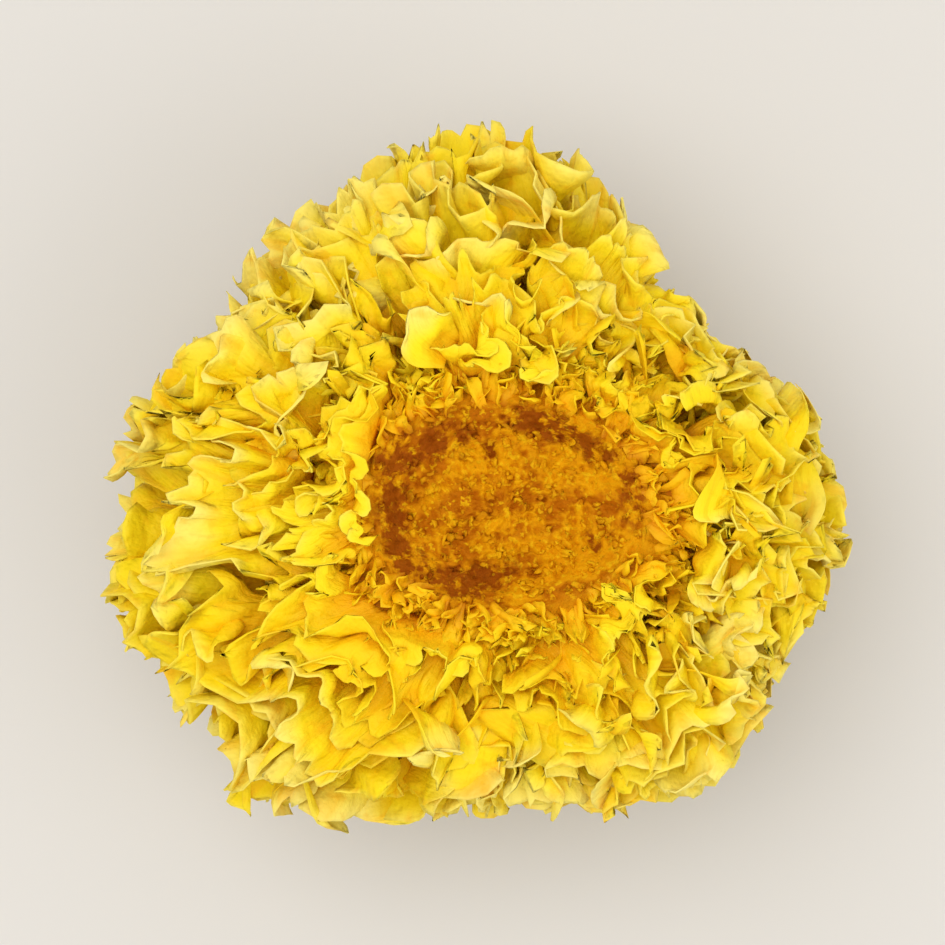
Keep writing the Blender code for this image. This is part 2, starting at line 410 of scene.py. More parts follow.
def makeCurl(random, tier, turn):
    form = curlForm
    below = random.uniform(*tier["curlAngles"])
    direction = directionOf(np.array(rimDirection(turn) - math.radians(below)), np.array(turn))
    start = direction * (rootRadius(direction) - form["sunken"])
    start[2] = min(start[2], base["rimHeight"] - form["belowRim"])
    flat = np.array([math.cos(turn), math.sin(turn), 0.0])
    grow = direction + flat * random.uniform(*form["sideways"])
    grow = grow + random.normal(size=3) * form["scatter"]
    grow /= np.linalg.norm(grow)
    length = random.uniform(*tier["curlLength"])
    fullShare = min(max(below, 0.0) / form["fullLengthBelow"], 1.0)
    length *= form["rimLength"] + (1.0 - form["rimLength"]) * fullShare
    tip = start + grow * length
    tipReach, startReach = np.linalg.norm(tip), np.linalg.norm(start)
    room = headRadius(tip / tipReach) - form["insideHead"] - startReach
    growth = tipReach - startReach
    length *= min(1.0, max(form["leastLength"], room / max(growth, form["leastGrowth"])))
    roomAbove = base["rimHeight"] + form["standAbove"] - start[2]
    length = min(length, roomAbove / max(grow[2], form["leastClimb"]))
    blade = makeBlade(random, form, rootMiddle + start, grow, length, random.uniform(*form["width"]))
    blade["out"] = form["outStart"] + form["outGrowth"] * blade["along"]
    blade["out"] = blade["out"] + form["outPerDegree"] * max(below, 0.0)
    return blade


def makeBlade(random, form, start, grow, length, width):
    # A narrow blade from start along grow: bent, twisted, cupped and waved.
    side = np.cross(grow, random.normal(size=3))
    side /= np.linalg.norm(side)
    facing = np.cross(grow, side)
    along = np.linspace(0.0, 1.0, form["rows"])[:, None]
    across = np.linspace(-0.5, 0.5, form["columns"] + 1)[None, :]
    shared = bladeForm
    bend = random.normal() * form["bend"]
    turnAlong = random.normal() * form["twist"] * along
    along3 = along[..., None]
    tips = 1.0 - form["tipDepth"] * (0.5 + 0.5 * waveNoise(random, across, shared["tipPitch"], 3))
    lengthHere = length * tips[..., None]
    path = start + grow * (along3 * lengthHere) + facing * (bend * length * along3 ** 2)
    widthAxis = side * np.cos(turnAlong)[..., None] + facing * np.sin(turnAlong)[..., None]
    faceAxis = facing * np.cos(turnAlong)[..., None] - side * np.sin(turnAlong)[..., None]
    narrowing = np.sqrt(1.0 - shared["tipNarrowing"] * along ** shared["tipRoundness"])
    widthHere = width * (shared["rootWidth"] + shared["widthGrowth"] * along) * narrowing
    phase = random.uniform(0.0, 2.0 * math.pi) + along * shared["waveAlong"]
    wave = form["wave"] * along * np.sin(phase + across * random.uniform(*shared["waveAcross"]))
    lift = form["cup"] * widthHere * across ** 2 * 2.0 + wave
    middle = path + widthAxis * (widthHere * across)[..., None] + faceAxis * lift[..., None]
    normal = sheetNormals(middle)
    fromSide = 0.5 - np.abs(across)
    sides = np.minimum(1.0, shared["sideThickness"] + fromSide * shared["sideTaper"])
    thickness = form["thickness"] * sides * (shared["rootThickness"] - shared["thinning"] * along)
    toSide = fromSide * widthHere
    place = np.full(toSide.shape, random.uniform(0.0, head["strandSpread"]))
    runAlong = along * length * np.ones_like(across)
    strand = np.stack([across * widthHere, runAlong, place], axis=-1)
    return {"front": limitHeights(middle + 0.5 * normal * thickness[..., None]),
            "back": limitHeights(middle - 0.5 * normal * thickness[..., None]),
            "along": along * np.ones_like(across),
            "rim": np.exp(-np.minimum(toSide, (1.0 - along) * length) / shared["rimWidth"]),
            "tone": np.full(toSide.shape, random.uniform(-1.0, 1.0)),
            "strand": strand}


def sheetFaces(rows, columns):
    index = np.arange(rows * columns).reshape(rows, columns)
    corners = [index[:-1, :-1], index[:-1, 1:], index[1:, 1:], index[1:, :-1]]
    quads = np.stack(corners, axis=-1).reshape(-1, 4)
    ring = np.concatenate([index[0, :-1], index[:-1, -1], index[-1, :0:-1], index[:0:-1, 0]])
    following = np.roll(ring, -1)
    offset = rows * columns
    rim = np.stack([ring + offset, following + offset, following, ring], axis=-1)
    return quads, rim, offset


class MeshParts:
    # Gathers quads with their UVs and their points' values, and makes one piece of them.

    def __init__(self, valueNames):
        self.count = 0
        self.points, self.faces, self.uvs = [], [], []
        self.values = {valueName: [] for valueName in valueNames}

    def add(self, points, faces, uvs, values):
        self.points.append(points)
        self.faces.append(faces + self.count)
        self.uvs.append(uvs)
        for valueName, rows in self.values.items():
            rows.append(np.asarray(values[valueName], float).reshape(len(points), -1))
        self.count += len(points)

    def finish(self, name):
        points, faces = np.concatenate(self.points) * millimetre, np.concatenate(self.faces)
        mesh = bpy.data.meshes.new(name)
        mesh.vertices.add(len(points))
        mesh.vertices.foreach_set("co", points.astype(np.float32).ravel())
        mesh.loops.add(faces.size)
        mesh.loops.foreach_set("vertex_index", faces.astype(np.int32).ravel())
        mesh.polygons.add(len(faces))
        mesh.polygons.foreach_set("loop_start", np.arange(0, faces.size, 4, dtype=np.int32))
        mesh.update(calc_edges=True)
        layer = mesh.uv_layers.new(name="OFBake")
        layer.data.foreach_set("uv", np.concatenate(self.uvs).astype(np.float32).ravel())
        for valueName, rows in self.values.items():
            values = np.concatenate(rows).astype(np.float32)
            isVector = values.shape[1] == 3
            kind, field = ("FLOAT_VECTOR", "vector") if isVector else ("FLOAT", "value")
            mesh.attributes.new(valueName, kind, "POINT").data.foreach_set(field, values.ravel())
        mesh.shade_smooth()
        piece = bpy.data.objects.new(name, mesh)
        bpy.context.scene.collection.objects.link(piece)
        return piece


def uvTiles(count, corner, size):
    # The corners and the size of the tiles of a square grid that holds count tiles.
    perRow = math.ceil(math.sqrt(count))
    tile = size / perRow
    corners = [(corner[0] + number % perRow * tile, corner[1] + number // perRow * tile)
               for number in range(count)]
    return corners, tile


def sheetUvs(rows, columns, quads, rim, offset, corners, tile):
    # The front and the back of a sheet each fill one tile; its rim takes the margin of the front's.
    margin = 0.03
    across, outward = np.meshgrid(np.linspace(0.0, 1.0, columns), np.linspace(0.0, 1.0, rows))
    inner = margin + np.stack([across, outward], axis=-1).reshape(-1, 2) * (1.0 - 2.0 * margin)
    front = np.array(corners[0]) + inner * tile
    back = np.array(corners[1]) + inner * tile
    outer = np.array(corners[0]) + (0.5 + (inner - 0.5) * (1.0 + margin)) * tile
    isBack = rim >= offset
    rimUvs = np.where(isBack[..., None], outer[rim % offset], front[rim % offset])
    return np.concatenate([front[quads], back[quads[:, ::-1]], rimUvs]).reshape(-1, 2)


def addSheet(parts, sheet, tiles, size):
    rows, columns = sheet["front"].shape[:2]
    quads, rimFaces, offset = sheetFaces(rows, columns)
    points = np.concatenate([sheet["front"].reshape(-1, 3), sheet["back"].reshape(-1, 3)])
    faces = np.concatenate([quads, quads[:, ::-1] + offset, rimFaces])
    values = {key: np.concatenate([sheet[key].reshape(offset, -1)] * 2) for key in parts.values}
    parts.add(points, faces, sheetUvs(rows, columns, quads, rimFaces, offset, tiles, size), values)


def joinSheets(name, sheets, blades):
    # All blades share one tile of the UV square, in a finer grid.
    corners, tile = uvTiles(2 * len(sheets) + (1 if blades else 0), (0.0, 0.0), 1.0)
    placed = [(sheet, corners[2 * number:2 * number + 2], tile) for number, sheet in enumerate(sheets)]
    if blades:
        small, smallTile = uvTiles(2 * len(blades), corners[-1], tile)
        placed += [(blade, small[2 * number:2 * number + 2], smallTile)
                   for number, blade in enumerate(blades)]
    parts = MeshParts(("out", "rim", "tone", "strand"))
    for sheet, tiles, size in placed:
        addSheet(parts, sheet, tiles, size)
    return parts.finish(name)


forkForm = {
    "mainStart": -0.04,
    "jitter": 0.45,
    "width": (0.5, 0.72),
    "reach": (0.84, 1.02),
}


def forkPlan(random, tier):
    # The main sheet, then forks on both sides of it that lean away from it and fan out.
    form = forkForm
    plan = [(0.0, tier["reach"], form["mainStart"], 1.0, 0.0)]
    for number in range(tier["forks"]):
        side = 1 if number % 2 == 0 else -1
        step = (number // 2 + 1) * tier["forkAngle"] * side
        step += random.uniform(-form["jitter"], form["jitter"]) * tier["forkAngle"]
        share = random.uniform(*form["width"])
        shift = random.uniform(-0.5, 0.5) * (1.0 - share)
        reach = tier["reach"] * random.uniform(*form["reach"])
        plan.append((step, reach, random.uniform(*tier["forkStart"]), share, shift))
    return plan


def buildTier(tier, material):
    placeWidth = 2.0 * math.pi / tier["count"]
    triangles = 0

    def anyTurn():
        return turn + random.uniform(-0.5, 0.5) * placeWidth

    for number in range(tier["count"]):
        seed = head["frondSeed"] + head["seedStep"] * number + int(tier["rootAngle"])
        random = np.random.default_rng(seed)
        place = head["placeVariation"] * math.sin(tier["first"] + number * number)
        turn = math.radians(tier["first"]) + placeWidth * (number + place)
        sheets = [makeSheet(random, tier, turn, placeWidth, *fork) for fork in forkPlan(random, tier)]
        blades = [makeCurl(random, tier, anyTurn()) for _ in range(tier["curls"])]
        blades += [makeFin(random, tier, anyTurn()) for _ in range(tier["fins"])]
        node = f"{tier['name']}_{number + 1:02d}"
        piece = joinSheets(f"{node}_visual", sheets, blades)
        piece.data.materials.append(material)
        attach(piece, "root")
        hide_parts(node)
        triangles += sum(len(face.vertices) - 2 for face in piece.data.polygons)
    print(tier["name"], "triangles", triangles)
    return triangles


# The tiers of fronds, from the cut to the crown. What a tier doesn't name is as in frondForm.
frondForm = {
    "slot": "frond", "reach": 1.0, "forks": 4, "forkAngle": 3.6, "forkStart": (0.25, 0.45),
    "lobes": 1.0, "crumple": 1.2, "length": 20.0, "curls": 0,
}
frondCollar = frondForm | {
    "name": "frond_collar", "slot": "frond_collar", "count": 5, "first": 20.0,
    "rootAngle": 122.0, "edgeAngle": 118.0, "width": 1.06, "lean": 6.0,
    "reach": 0.86, "forks": 3, "forkAngle": 4.5, "forkStart": (0.0, 0.2),
    "lobes": 1.6, "cell": 0.46, "crumple": 1.4, "length": 14.0,
    "fins": 0, "curls": 165, "curlAngles": (-1.0, 22.0), "curlLength": (2.4, 5.2),
}
frondUpper = frondForm | {
    "name": "frond_upper", "count": 6, "first": 55.0,
    "rootAngle": 108.0, "edgeAngle": 106.0, "width": 1.12, "lean": 9.0,
    "reach": 0.99, "forkStart": (0.1, 0.3), "cell": 0.64,
    "fins": 11, "curls": 45, "curlAngles": (12.0, 36.0), "curlLength": (4.0, 8.5),
}
frondShoulder = frondForm | {
    "name": "frond_shoulder", "count": 6, "first": 20.0,
    "rootAngle": 91.0, "edgeAngle": 90.0, "width": 1.12, "lean": 10.0,
    "forkStart": (0.2, 0.4), "cell": 0.62, "fins": 12,
}
frondSide = frondForm | {
    "name": "frond_side", "count": 5, "first": 35.0,
    "rootAngle": 73.0, "edgeAngle": 72.0, "width": 1.12, "lean": 10.0,
    "forkAngle": 4.0, "cell": 0.68, "fins": 12,
}
frondLower = frondForm | {
    "name": "frond_lower", "count": 5, "first": 5.0,
    "rootAngle": 54.0, "edgeAngle": 52.0, "width": 1.10, "lean": 10.0,
    "forkAngle": 4.5, "cell": 0.70, "fins": 10,
}
frondCrown = frondForm | {
    "name": "frond_crown", "count": 4, "first": 45.0,
    "rootAngle": 32.0, "edgeAngle": 30.0, "width": 1.02, "lean": 9.0,
    "forks": 2, "forkAngle": 6.0, "cell": 0.6, "crumple": 1.0, "length": 16.0, "fins": 8,
}
frondHeart = frondForm | {
    "name": "frond_heart", "count": 1, "first": 150.0,
    "rootAngle": 0.0, "edgeAngle": 0.0, "width": 0.0, "lean": 46.0,
    "forks": 0, "cell": 0.6, "crumple": 1.0, "length": 16.0, "fins": 4,
}

# The base: the hard root with its rough, sunken cut. Each pit in the cut: its place from the cut's
# middle, its half widths, its turn in degrees, its depth and how dark it is; the darkness is partly the
# cut's darker tissue and partly painted shade in the sunken pits, and the raised lumps, with negative
# values, are painted lighter.
base = {
    "columns": 240,
    "rowsUnder": 18,
    "rowsTop": 72,
    "rimHeight": 8.5,
    "cutHeight": 6.6,
    "floorShare": 0.6,
    "wallShare": 0.95,
    "firstAngle": 0.02,
    "smoothRowsUnder": 15,
    "lumpScale": 0.28,
    "lumpHeight": 0.5,
    "grainScale": 1.6,
    "grainHeight": 0.55,
    "grainShift": 31.0,
    "underUv": ([0.78, 0.22], 1.0 / 90.0),  # the middle and the scale of the underside in the UV square
    "topUv": ([0.5, 0.72], 1.0 / 36.0),
    "underSide": 1.5,
    "pits": [(-2.6, -6.2, 4.0, 1.6, 14.0, 1.1, 1.25), (-9.2, -0.8, 0.5, 2.8, 6.0, 0.7, 1.1),
             (-9.3, 0.3, 1.9, 5.0, 6.0, 0.3, 0.8), (2.6, 6.9, 2.4, 1.1, -14.0, 0.7, 1.25),
             (7.0, 4.8, 3.8, 1.3, -34.0, 0.5, 0.75), (10.6, 0.6, 1.5, 3.2, 8.0, 0.4, 0.75),
             (-6.0, 5.2, 4.0, 1.7, 14.0, 0.4, 0.95), (-1.3, 4.5, 0.5, 0.8, 0.0, 0.7, 1.4),
             (7.4, -3.0, 0.6, 1.3, 25.0, 0.7, 1.1), (-7.6, -4.8, 2.0, 1.8, 0.0, 0.3, 0.7),
             (-4.4, -1.0, 3.4, 2.8, 0.0, -0.9, -0.5), (3.5, -2.5, 4.4, 2.8, 10.0, -0.5, -0.35)],
}

# The stubs: the cut ends of the fronds, which stand a little out of the cut.
stubForm = {
    "count": 260,
    "rows": 4,
    "columns": 3,
    "length": (0.5, 1.05),
    "width": (0.3, 0.9),
    "thickness": 0.26,
    "scatter": 0.45,
    "bend": 0.4,
    "twist": 0.8,
    "cup": 0.4,
    "wave": 0.12,
    "tipDepth": 0.1,
    "sunken": 0.35,
    "withinShare": 0.97,
    "mostShade": 0.7,
    "mostFleck": 0.75,
    "uvSize": 0.38,
}


def noiseField(points, scale, detail):
    return np.array([noise.fractal(Vector(point) * scale, 0.9, 2.1, detail) for point in points])


def pitField(points):
    # How deep the pits and the lumps make each point of the cut, and how dark: partly darker tissue,
    # partly painted shade in the pits and painted light on the lumps.
    depth, dark = np.zeros(len(points)), np.zeros(len(points))
    for x, y, halfX, halfY, degrees, deep, shade in base["pits"]:
        cosine, sine = math.cos(math.radians(degrees)), math.sin(math.radians(degrees))
        across, up = points[:, 0] - x, points[:, 1] - y
        alongX = (across * cosine + up * sine) / halfX
        alongY = (up * cosine - across * sine) / halfY
        share = np.exp(-(alongX ** 2 + alongY ** 2))
        depth += deep * share
        dark += shade * share
    return depth, dark


def baseRings():
    # Rings of points: from under the root up to the rim of the cut, then in over the cut.
    turns = np.linspace(0.0, 2.0 * math.pi, base["columns"] + 1)[:-1]
    rimAngle = math.pi - math.atan2(rimScale() * head["rootHalfX"], base["rimHeight"])
    rings = []
    for crownAngle in np.linspace(base["firstAngle"], rimAngle, base["rowsUnder"]):
        direction = directionOf(np.full(len(turns), crownAngle), turns)
        ring = direction * rootRadius(direction)[:, None]
        ring[:, 2] = np.minimum(ring[:, 2], base["rimHeight"])
        rings.append(ring)
    for share in np.linspace(1.0, 0.0, base["rowsTop"] + 1)[1:-1]:
        depth = 1.0 - smoothStep(base["floorShare"], base["wallShare"], share)
        height = base["rimHeight"] - (base["rimHeight"] - base["cutHeight"]) * depth
        rings.append(np.stack([np.cos(turns) * head["rootHalfX"] * rimScale() * share,
                               np.sin(turns) * head["rootHalfY"] * rimScale() * share,
                               np.full(len(turns), height)], axis=-1))
    return np.stack(rings)


def baseFaces(index):
    # Quads between the rings, and strips that close the first ring and the last.
    columns = index.shape[1]
    following = np.roll(index, -1, axis=1)
    quads = np.stack([index[:-1], following[:-1], following[1:], index[1:]], axis=-1).reshape(-1, 4)
    caps = []
    for ring, flip in ((index[0], True), (index[-1], False)):
        half = columns // 2
        near, far = np.arange(half - 1), np.arange(1, half)
        backNear, backFar = columns - 1 - near, columns - 1 - far
        strip = np.stack([ring[near], ring[far], ring[backFar], ring[backNear]], axis=-1)
        caps.append(strip[:, ::-1] if flip else strip)
    return np.concatenate([quads] + caps)


def buildBase():
    points = baseRings()
    rows, columns = points.shape[:2]
    topStart = base["smoothRowsUnder"]
    flat = points[topStart:].reshape(-1, 3)
    lumps = noiseField(flat, base["lumpScale"], 3) * base["lumpHeight"]
    grain = noiseField(flat + base["grainShift"], base["grainScale"], 4) * base["grainHeight"]
    pits, shade = pitField(flat)
    flat[:, 2] += lumps + grain - pits
    points[topStart:] = flat.reshape(points[topStart:].shape)
    faces = baseFaces(np.arange(rows * columns).reshape(rows, columns))
    isUnder = np.repeat(np.arange(rows) < topStart, columns)[:, None]
    middle = np.where(isUnder, base["underUv"][0], base["topUv"][0])
    scale = np.where(isUnder, base["underUv"][1], base["topUv"][1])
    uv = middle + points.reshape(-1, 3)[:, :2] * scale
    height, dark = np.zeros((rows, columns)), np.zeros((rows, columns))
    height[topStart:] = (lumps + grain).reshape(-1, columns)
    dark[topStart:] = shade.reshape(-1, columns)
    side = np.hypot(points[..., 0] / head["rootHalfX"], points[..., 1] / head["rootHalfY"]) / rimScale()
    side[:topStart] = base["underSide"]
    parts = MeshParts(("height", "dark", "side", "fleck"))
    values = {"height": height, "dark": dark, "side": side, "fleck": np.zeros(height.shape)}
    parts.add(points.reshape(-1, 3) + rootMiddle, faces, uv[faces].reshape(-1, 2), values)
    addStubs(parts, points[topStart:].reshape(-1, 3), side[topStart:].ravel(), shade)
    return parts.finish("base_visual")


def addStubs(parts, surface, side, shade):
    # Stubs on random points of the cut, fewer in its pits and darker there, where they take on the
    # pits' painted shade along with their darker tissue.
    form = stubForm
    random = np.random.default_rng(head["seed"] + 2)
    crowded = random.uniform(size=len(side)) < side
    inside = np.flatnonzero((side < form["withinShare"]) & crowded & (shade < form["mostShade"]))
    chosen = random.choice(inside, form["count"], replace=False)
    tiles, size = uvTiles(2 * form["count"], (0.0, 0.0), form["uvSize"])
    for number, index in enumerate(chosen):
        grow = np.array([0.0, 0.0, 1.0]) + random.normal(size=3) * form["scatter"]
        grow /= np.linalg.norm(grow)
        start = rootMiddle + surface[index] - grow * form["sunken"]
        length = random.uniform(*form["length"])
        blade = makeBlade(random, form, start, grow, length, random.uniform(*form["width"]))
        blade["height"] = np.zeros_like(blade["along"])
        blade["dark"] = np.full_like(blade["along"], shade[index])
        blade["side"] = np.full_like(blade["along"], side[index])
        blade["fleck"] = blade["along"] * random.uniform(0.0, form["mostFleck"])
        addSheet(parts, blade, tiles[2 * number:2 * number + 2], size)


# Materials

def newMaterial(name):
    material = bpy.data.materials.new(name)
    material.use_nodes = True
    tree = material.node_tree
    return material, tree, tree.nodes["Principled BSDF"]


def makeGroup(name, inputs, outputs):
    group = bpy.data.node_groups.new(name, "ShaderNodeTree")
    for label, kind, value in inputs:
        socket = group.interface.new_socket(label, in_out="INPUT", socket_type=kind)
        socket.default_value = value
    for label, kind in outputs:
        group.interface.new_socket(label, in_out="OUTPUT", socket_type=kind)
    return group, group.nodes.new("NodeGroupInput"), group.nodes.new("NodeGroupOutput")


def setOrLink(tree, socket, value):
    if isinstance(value, (int, float, tuple)):
        socket.default_value = value
    else:
        tree.links.new(value, socket)


def addNoise(tree, coordinates, scale, detail, roughness=0.5):
    node = tree.nodes.new("ShaderNodeTexNoise")
    node.inputs["Scale"].default_value = scale
    node.inputs["Detail"].default_value = detail
    node.inputs["Roughness"].default_value = roughness
    tree.links.new(coordinates, node.inputs["Vector"])
    return node.outputs["Fac"]


def addRange(tree, value, low, high, newLow=0.0, newHigh=1.0):
    node = tree.nodes.new("ShaderNodeMapRange")
    node.interpolation_type = "SMOOTHSTEP"
    node.inputs["From Min"].default_value = low
    node.inputs["From Max"].default_value = high
    node.inputs["To Min"].default_value = newLow
    node.inputs["To Max"].default_value = newHigh
    tree.links.new(value, node.inputs["Value"])
    return node.outputs["Result"]


def addMath(tree, operation, first, second):
    node = tree.nodes.new("ShaderNodeMath")
    node.operation = operation
    for socket, value in zip(node.inputs, (first, second)):
        setOrLink(tree, socket, value)
    return node.outputs[0]


def addStretch(tree, vector, factors):
    node = tree.nodes.new("ShaderNodeVectorMath")
    node.operation = "MULTIPLY"
    node.inputs[1].default_value = factors
    tree.links.new(vector, node.inputs[0])
    return node.outputs["Vector"]


def addMix(tree, factor, first, second):
    node = tree.nodes.new("ShaderNodeMix")
    node.data_type = "RGBA"
    for socket, value in ((node.inputs[0], factor), (node.inputs[6], first), (node.inputs[7], second)):
        setOrLink(tree, socket, value)
    return node.outputs[2]


def linkAttributes(tree, rows):
    for attribute, output, socket in rows:
        node = tree.nodes.new("ShaderNodeAttribute")
        node.attribute_name = attribute
        tree.links.new(node.outputs[output], socket)


frondLook = {
    "root": (0.60, 0.20, 0.002, 1.0),
    "deep": (0.89, 0.46, 0.002, 1.0),
    "gold": (0.92, 0.71, 0.006, 1.0),
    "pale": (0.92, 0.78, 0.19, 1.0),
    "rim": (0.93, 0.78, 0.22, 1.0),
    "wanderScale": 95.0,
    "wander": 0.6,
    "toneShift": 0.07,
    "patchScale": 420.0,
    "deepReach": (0.0, 0.34),  # from the root out, where each colour takes over from the last
    "goldReach": (0.22, 0.88),
    "paleReach": (0.76, 1.08),
    "veinStretch": (0.9, 0.09, 1.0),
    "veins": (0.5, 0.72, 0.0, 0.5),
    "spots": (0.56, 0.7, 0.0, 0.5),
    "edgeShine": (0.6, 1.05, 0.0, 0.22),
    "roughness": (0.3, 0.7, 0.5, 0.7),
    "specular": 0.15,
    "ribStretch": (1.5, 0.22, 1.0),
    "grainScale": 1800.0,
    "grainShare": 0.3,
    "crumpleScale": 620.0,
    "crumpleShare": 1.4,
    "ribStrength": 0.75,
    "ribHeight": 0.0004,
}


def makeFrondGroup():
    # A frond's colours: amber at its root, gold further out and pale at its edge, with veins and
    # spots of the deeper colour.
    look = frondLook
    group, enter, leave = makeGroup(
        "frondColour",
        [("Out", "NodeSocketFloat", 0.5), ("Rim", "NodeSocketFloat", 0.0),
         ("Tone", "NodeSocketFloat", 0.0), ("Paleness", "NodeSocketFloat", 0.5),
         ("Strand", "NodeSocketVector", (0.0, 0.0, 0.0)),
         ("Root", "NodeSocketColor", look["root"]), ("Deep", "NodeSocketColor", look["deep"]),
         ("Gold", "NodeSocketColor", look["gold"]), ("Pale", "NodeSocketColor", look["pale"]),
         ("Edge", "NodeSocketColor", look["rim"])],
        [("Colour", "NodeSocketColor"), ("Patches", "NodeSocketFloat")])
    given = enter.outputs
    place = group.nodes.new("ShaderNodeTexCoord").outputs["Object"]
    broad = addNoise(group, place, look["wanderScale"], 2.0)
    fine = addNoise(group, place, look["patchScale"], 3.0)
    wander = addMath(group, "SUBTRACT", broad, 0.5)
    wander = addMath(group, "MULTIPLY", wander, look["wander"])
    tone = addMath(group, "MULTIPLY", given["Tone"], look["toneShift"])
    wander = addMath(group, "ADD", wander, tone)
    out = addMath(group, "ADD", given["Out"], wander)
    deep = addRange(group, out, *look["deepReach"])
    colour = addMix(group, deep, given["Root"], given["Deep"])
    gold = addRange(group, out, *look["goldReach"])
    colour = addMix(group, gold, colour, given["Gold"])
    pale = addRange(group, out, *look["paleReach"])
    pale = addMath(group, "MULTIPLY", pale, given["Paleness"])
    colour = addMix(group, pale, colour, given["Pale"])
    strand = addStretch(group, given["Strand"], look["veinStretch"])
    veins = addRange(group, addNoise(group, strand, 1.0, 3.0), *look["veins"])
    colour = addMix(group, veins, colour, given["Deep"])
    spots = addRange(group, fine, *look["spots"])
    colour = addMix(group, spots, colour, given["Deep"])
    edge = addRange(group, out, *look["edgeShine"])
    edge = addMath(group, "MULTIPLY", given["Rim"], edge)
    colour = addMix(group, edge, colour, given["Edge"])
    group.links.new(colour, leave.inputs["Colour"])
    group.links.new(fine, leave.inputs["Patches"])
    return group


def makeRibGroup():
    # Fine ribs along a frond, the dry crumple of its skin and a fine grain, as a height.
    look = frondLook
    group, enter, leave = makeGroup(
        "frondRibs", [("Strand", "NodeSocketVector", (0.0, 0.0, 0.0))], [("Height", "NodeSocketFloat")])
    strand = addStretch(group, enter.outputs["Strand"], look["ribStretch"])
    ribs = addNoise(group, strand, 1.0, 3.0)
    place = group.nodes.new("ShaderNodeTexCoord").outputs["Object"]
    grain = addNoise(group, place, look["grainScale"], 3.0)
    crumple = addNoise(group, place, look["crumpleScale"], 2.0)
    grain = addMath(group, "MULTIPLY", grain, look["grainShare"])
    crumple = addMath(group, "MULTIPLY", crumple, look["crumpleShare"])
    height = addMath(group, "ADD", ribs, grain)
    height = addMath(group, "ADD", height, crumple)
    group.links.new(height, leave.inputs["Height"])
    return group


frondGroup = makeFrondGroup()
ribGroup = makeRibGroup()


def makeFrondMaterial(name, paleness):
    material, tree, shader = newMaterial(name)
    colour = tree.nodes.new("ShaderNodeGroup")
    colour.node_tree = frondGroup
    colour.inputs["Paleness"].default_value = paleness
    ribs = tree.nodes.new("ShaderNodeGroup")
    ribs.node_tree = ribGroup
    linkAttributes(tree, (("out", "Fac", colour.inputs["Out"]),
                                  ("rim", "Fac", colour.inputs["Rim"]),
                                  ("tone", "Fac", colour.inputs["Tone"]),
                                  ("strand", "Vector", colour.inputs["Strand"]),
                                  ("strand", "Vector", ribs.inputs["Strand"])))
    tree.links.new(colour.outputs["Colour"], shader.inputs["Base Color"])
    roughness = addRange(tree, colour.outputs["Patches"], *frondLook["roughness"])
    tree.links.new(roughness, shader.inputs["Roughness"])
    bump = tree.nodes.new("ShaderNodeBump")
    bump.inputs["Strength"].default_value = frondLook["ribStrength"]
    bump.inputs["Distance"].default_value = frondLook["ribHeight"]
    tree.links.new(ribs.outputs["Height"], bump.inputs["Height"])
    tree.links.new(bump.outputs["Normal"], shader.inputs["Normal"])
    shader.inputs["Specular IOR Level"].default_value = frondLook["specular"]
    return material


baseLook = {
    "dark": (0.30, 0.062, 0.001, 1.0),
    "brown": (0.50, 0.145, 0.001, 1.0),
    "orange": (0.75, 0.325, 0.001, 1.0),
    "fleck": (0.80, 0.44, 0.004, 1.0),
    "skin": (0.70, 0.30, 0.002, 1.0),
    "broadScale": 260.0,
    # Painted light: the cut's raised places turn more orange, its low places browner.
    "paintedRaisedLight": 0.22,
    "orangeLevel": (0.36, 0.62),
    "fleckScale": 1300.0,
    "flecks": (0.56, 0.64, 0.0, 0.85),
    "skinSide": (0.86, 1.08, 0.0, 0.8),
    "breakScale": 700.0,
    "breaks": (0.36, 0.64, 0.3, 1.25),
    "grainScale": 1500.0,
    "grainDark": 0.5,
    # Painted shade in the cut's low places, painted light on its raised ones.
    "paintedHollowShade": 0.3,
    "pits": (0.4, 0.98, 0.0, 0.94),
    "roughness": 0.7,
    "specular": 0.06,
    "grainStrength": 0.7,
    "grainHeight": 0.0005,
}


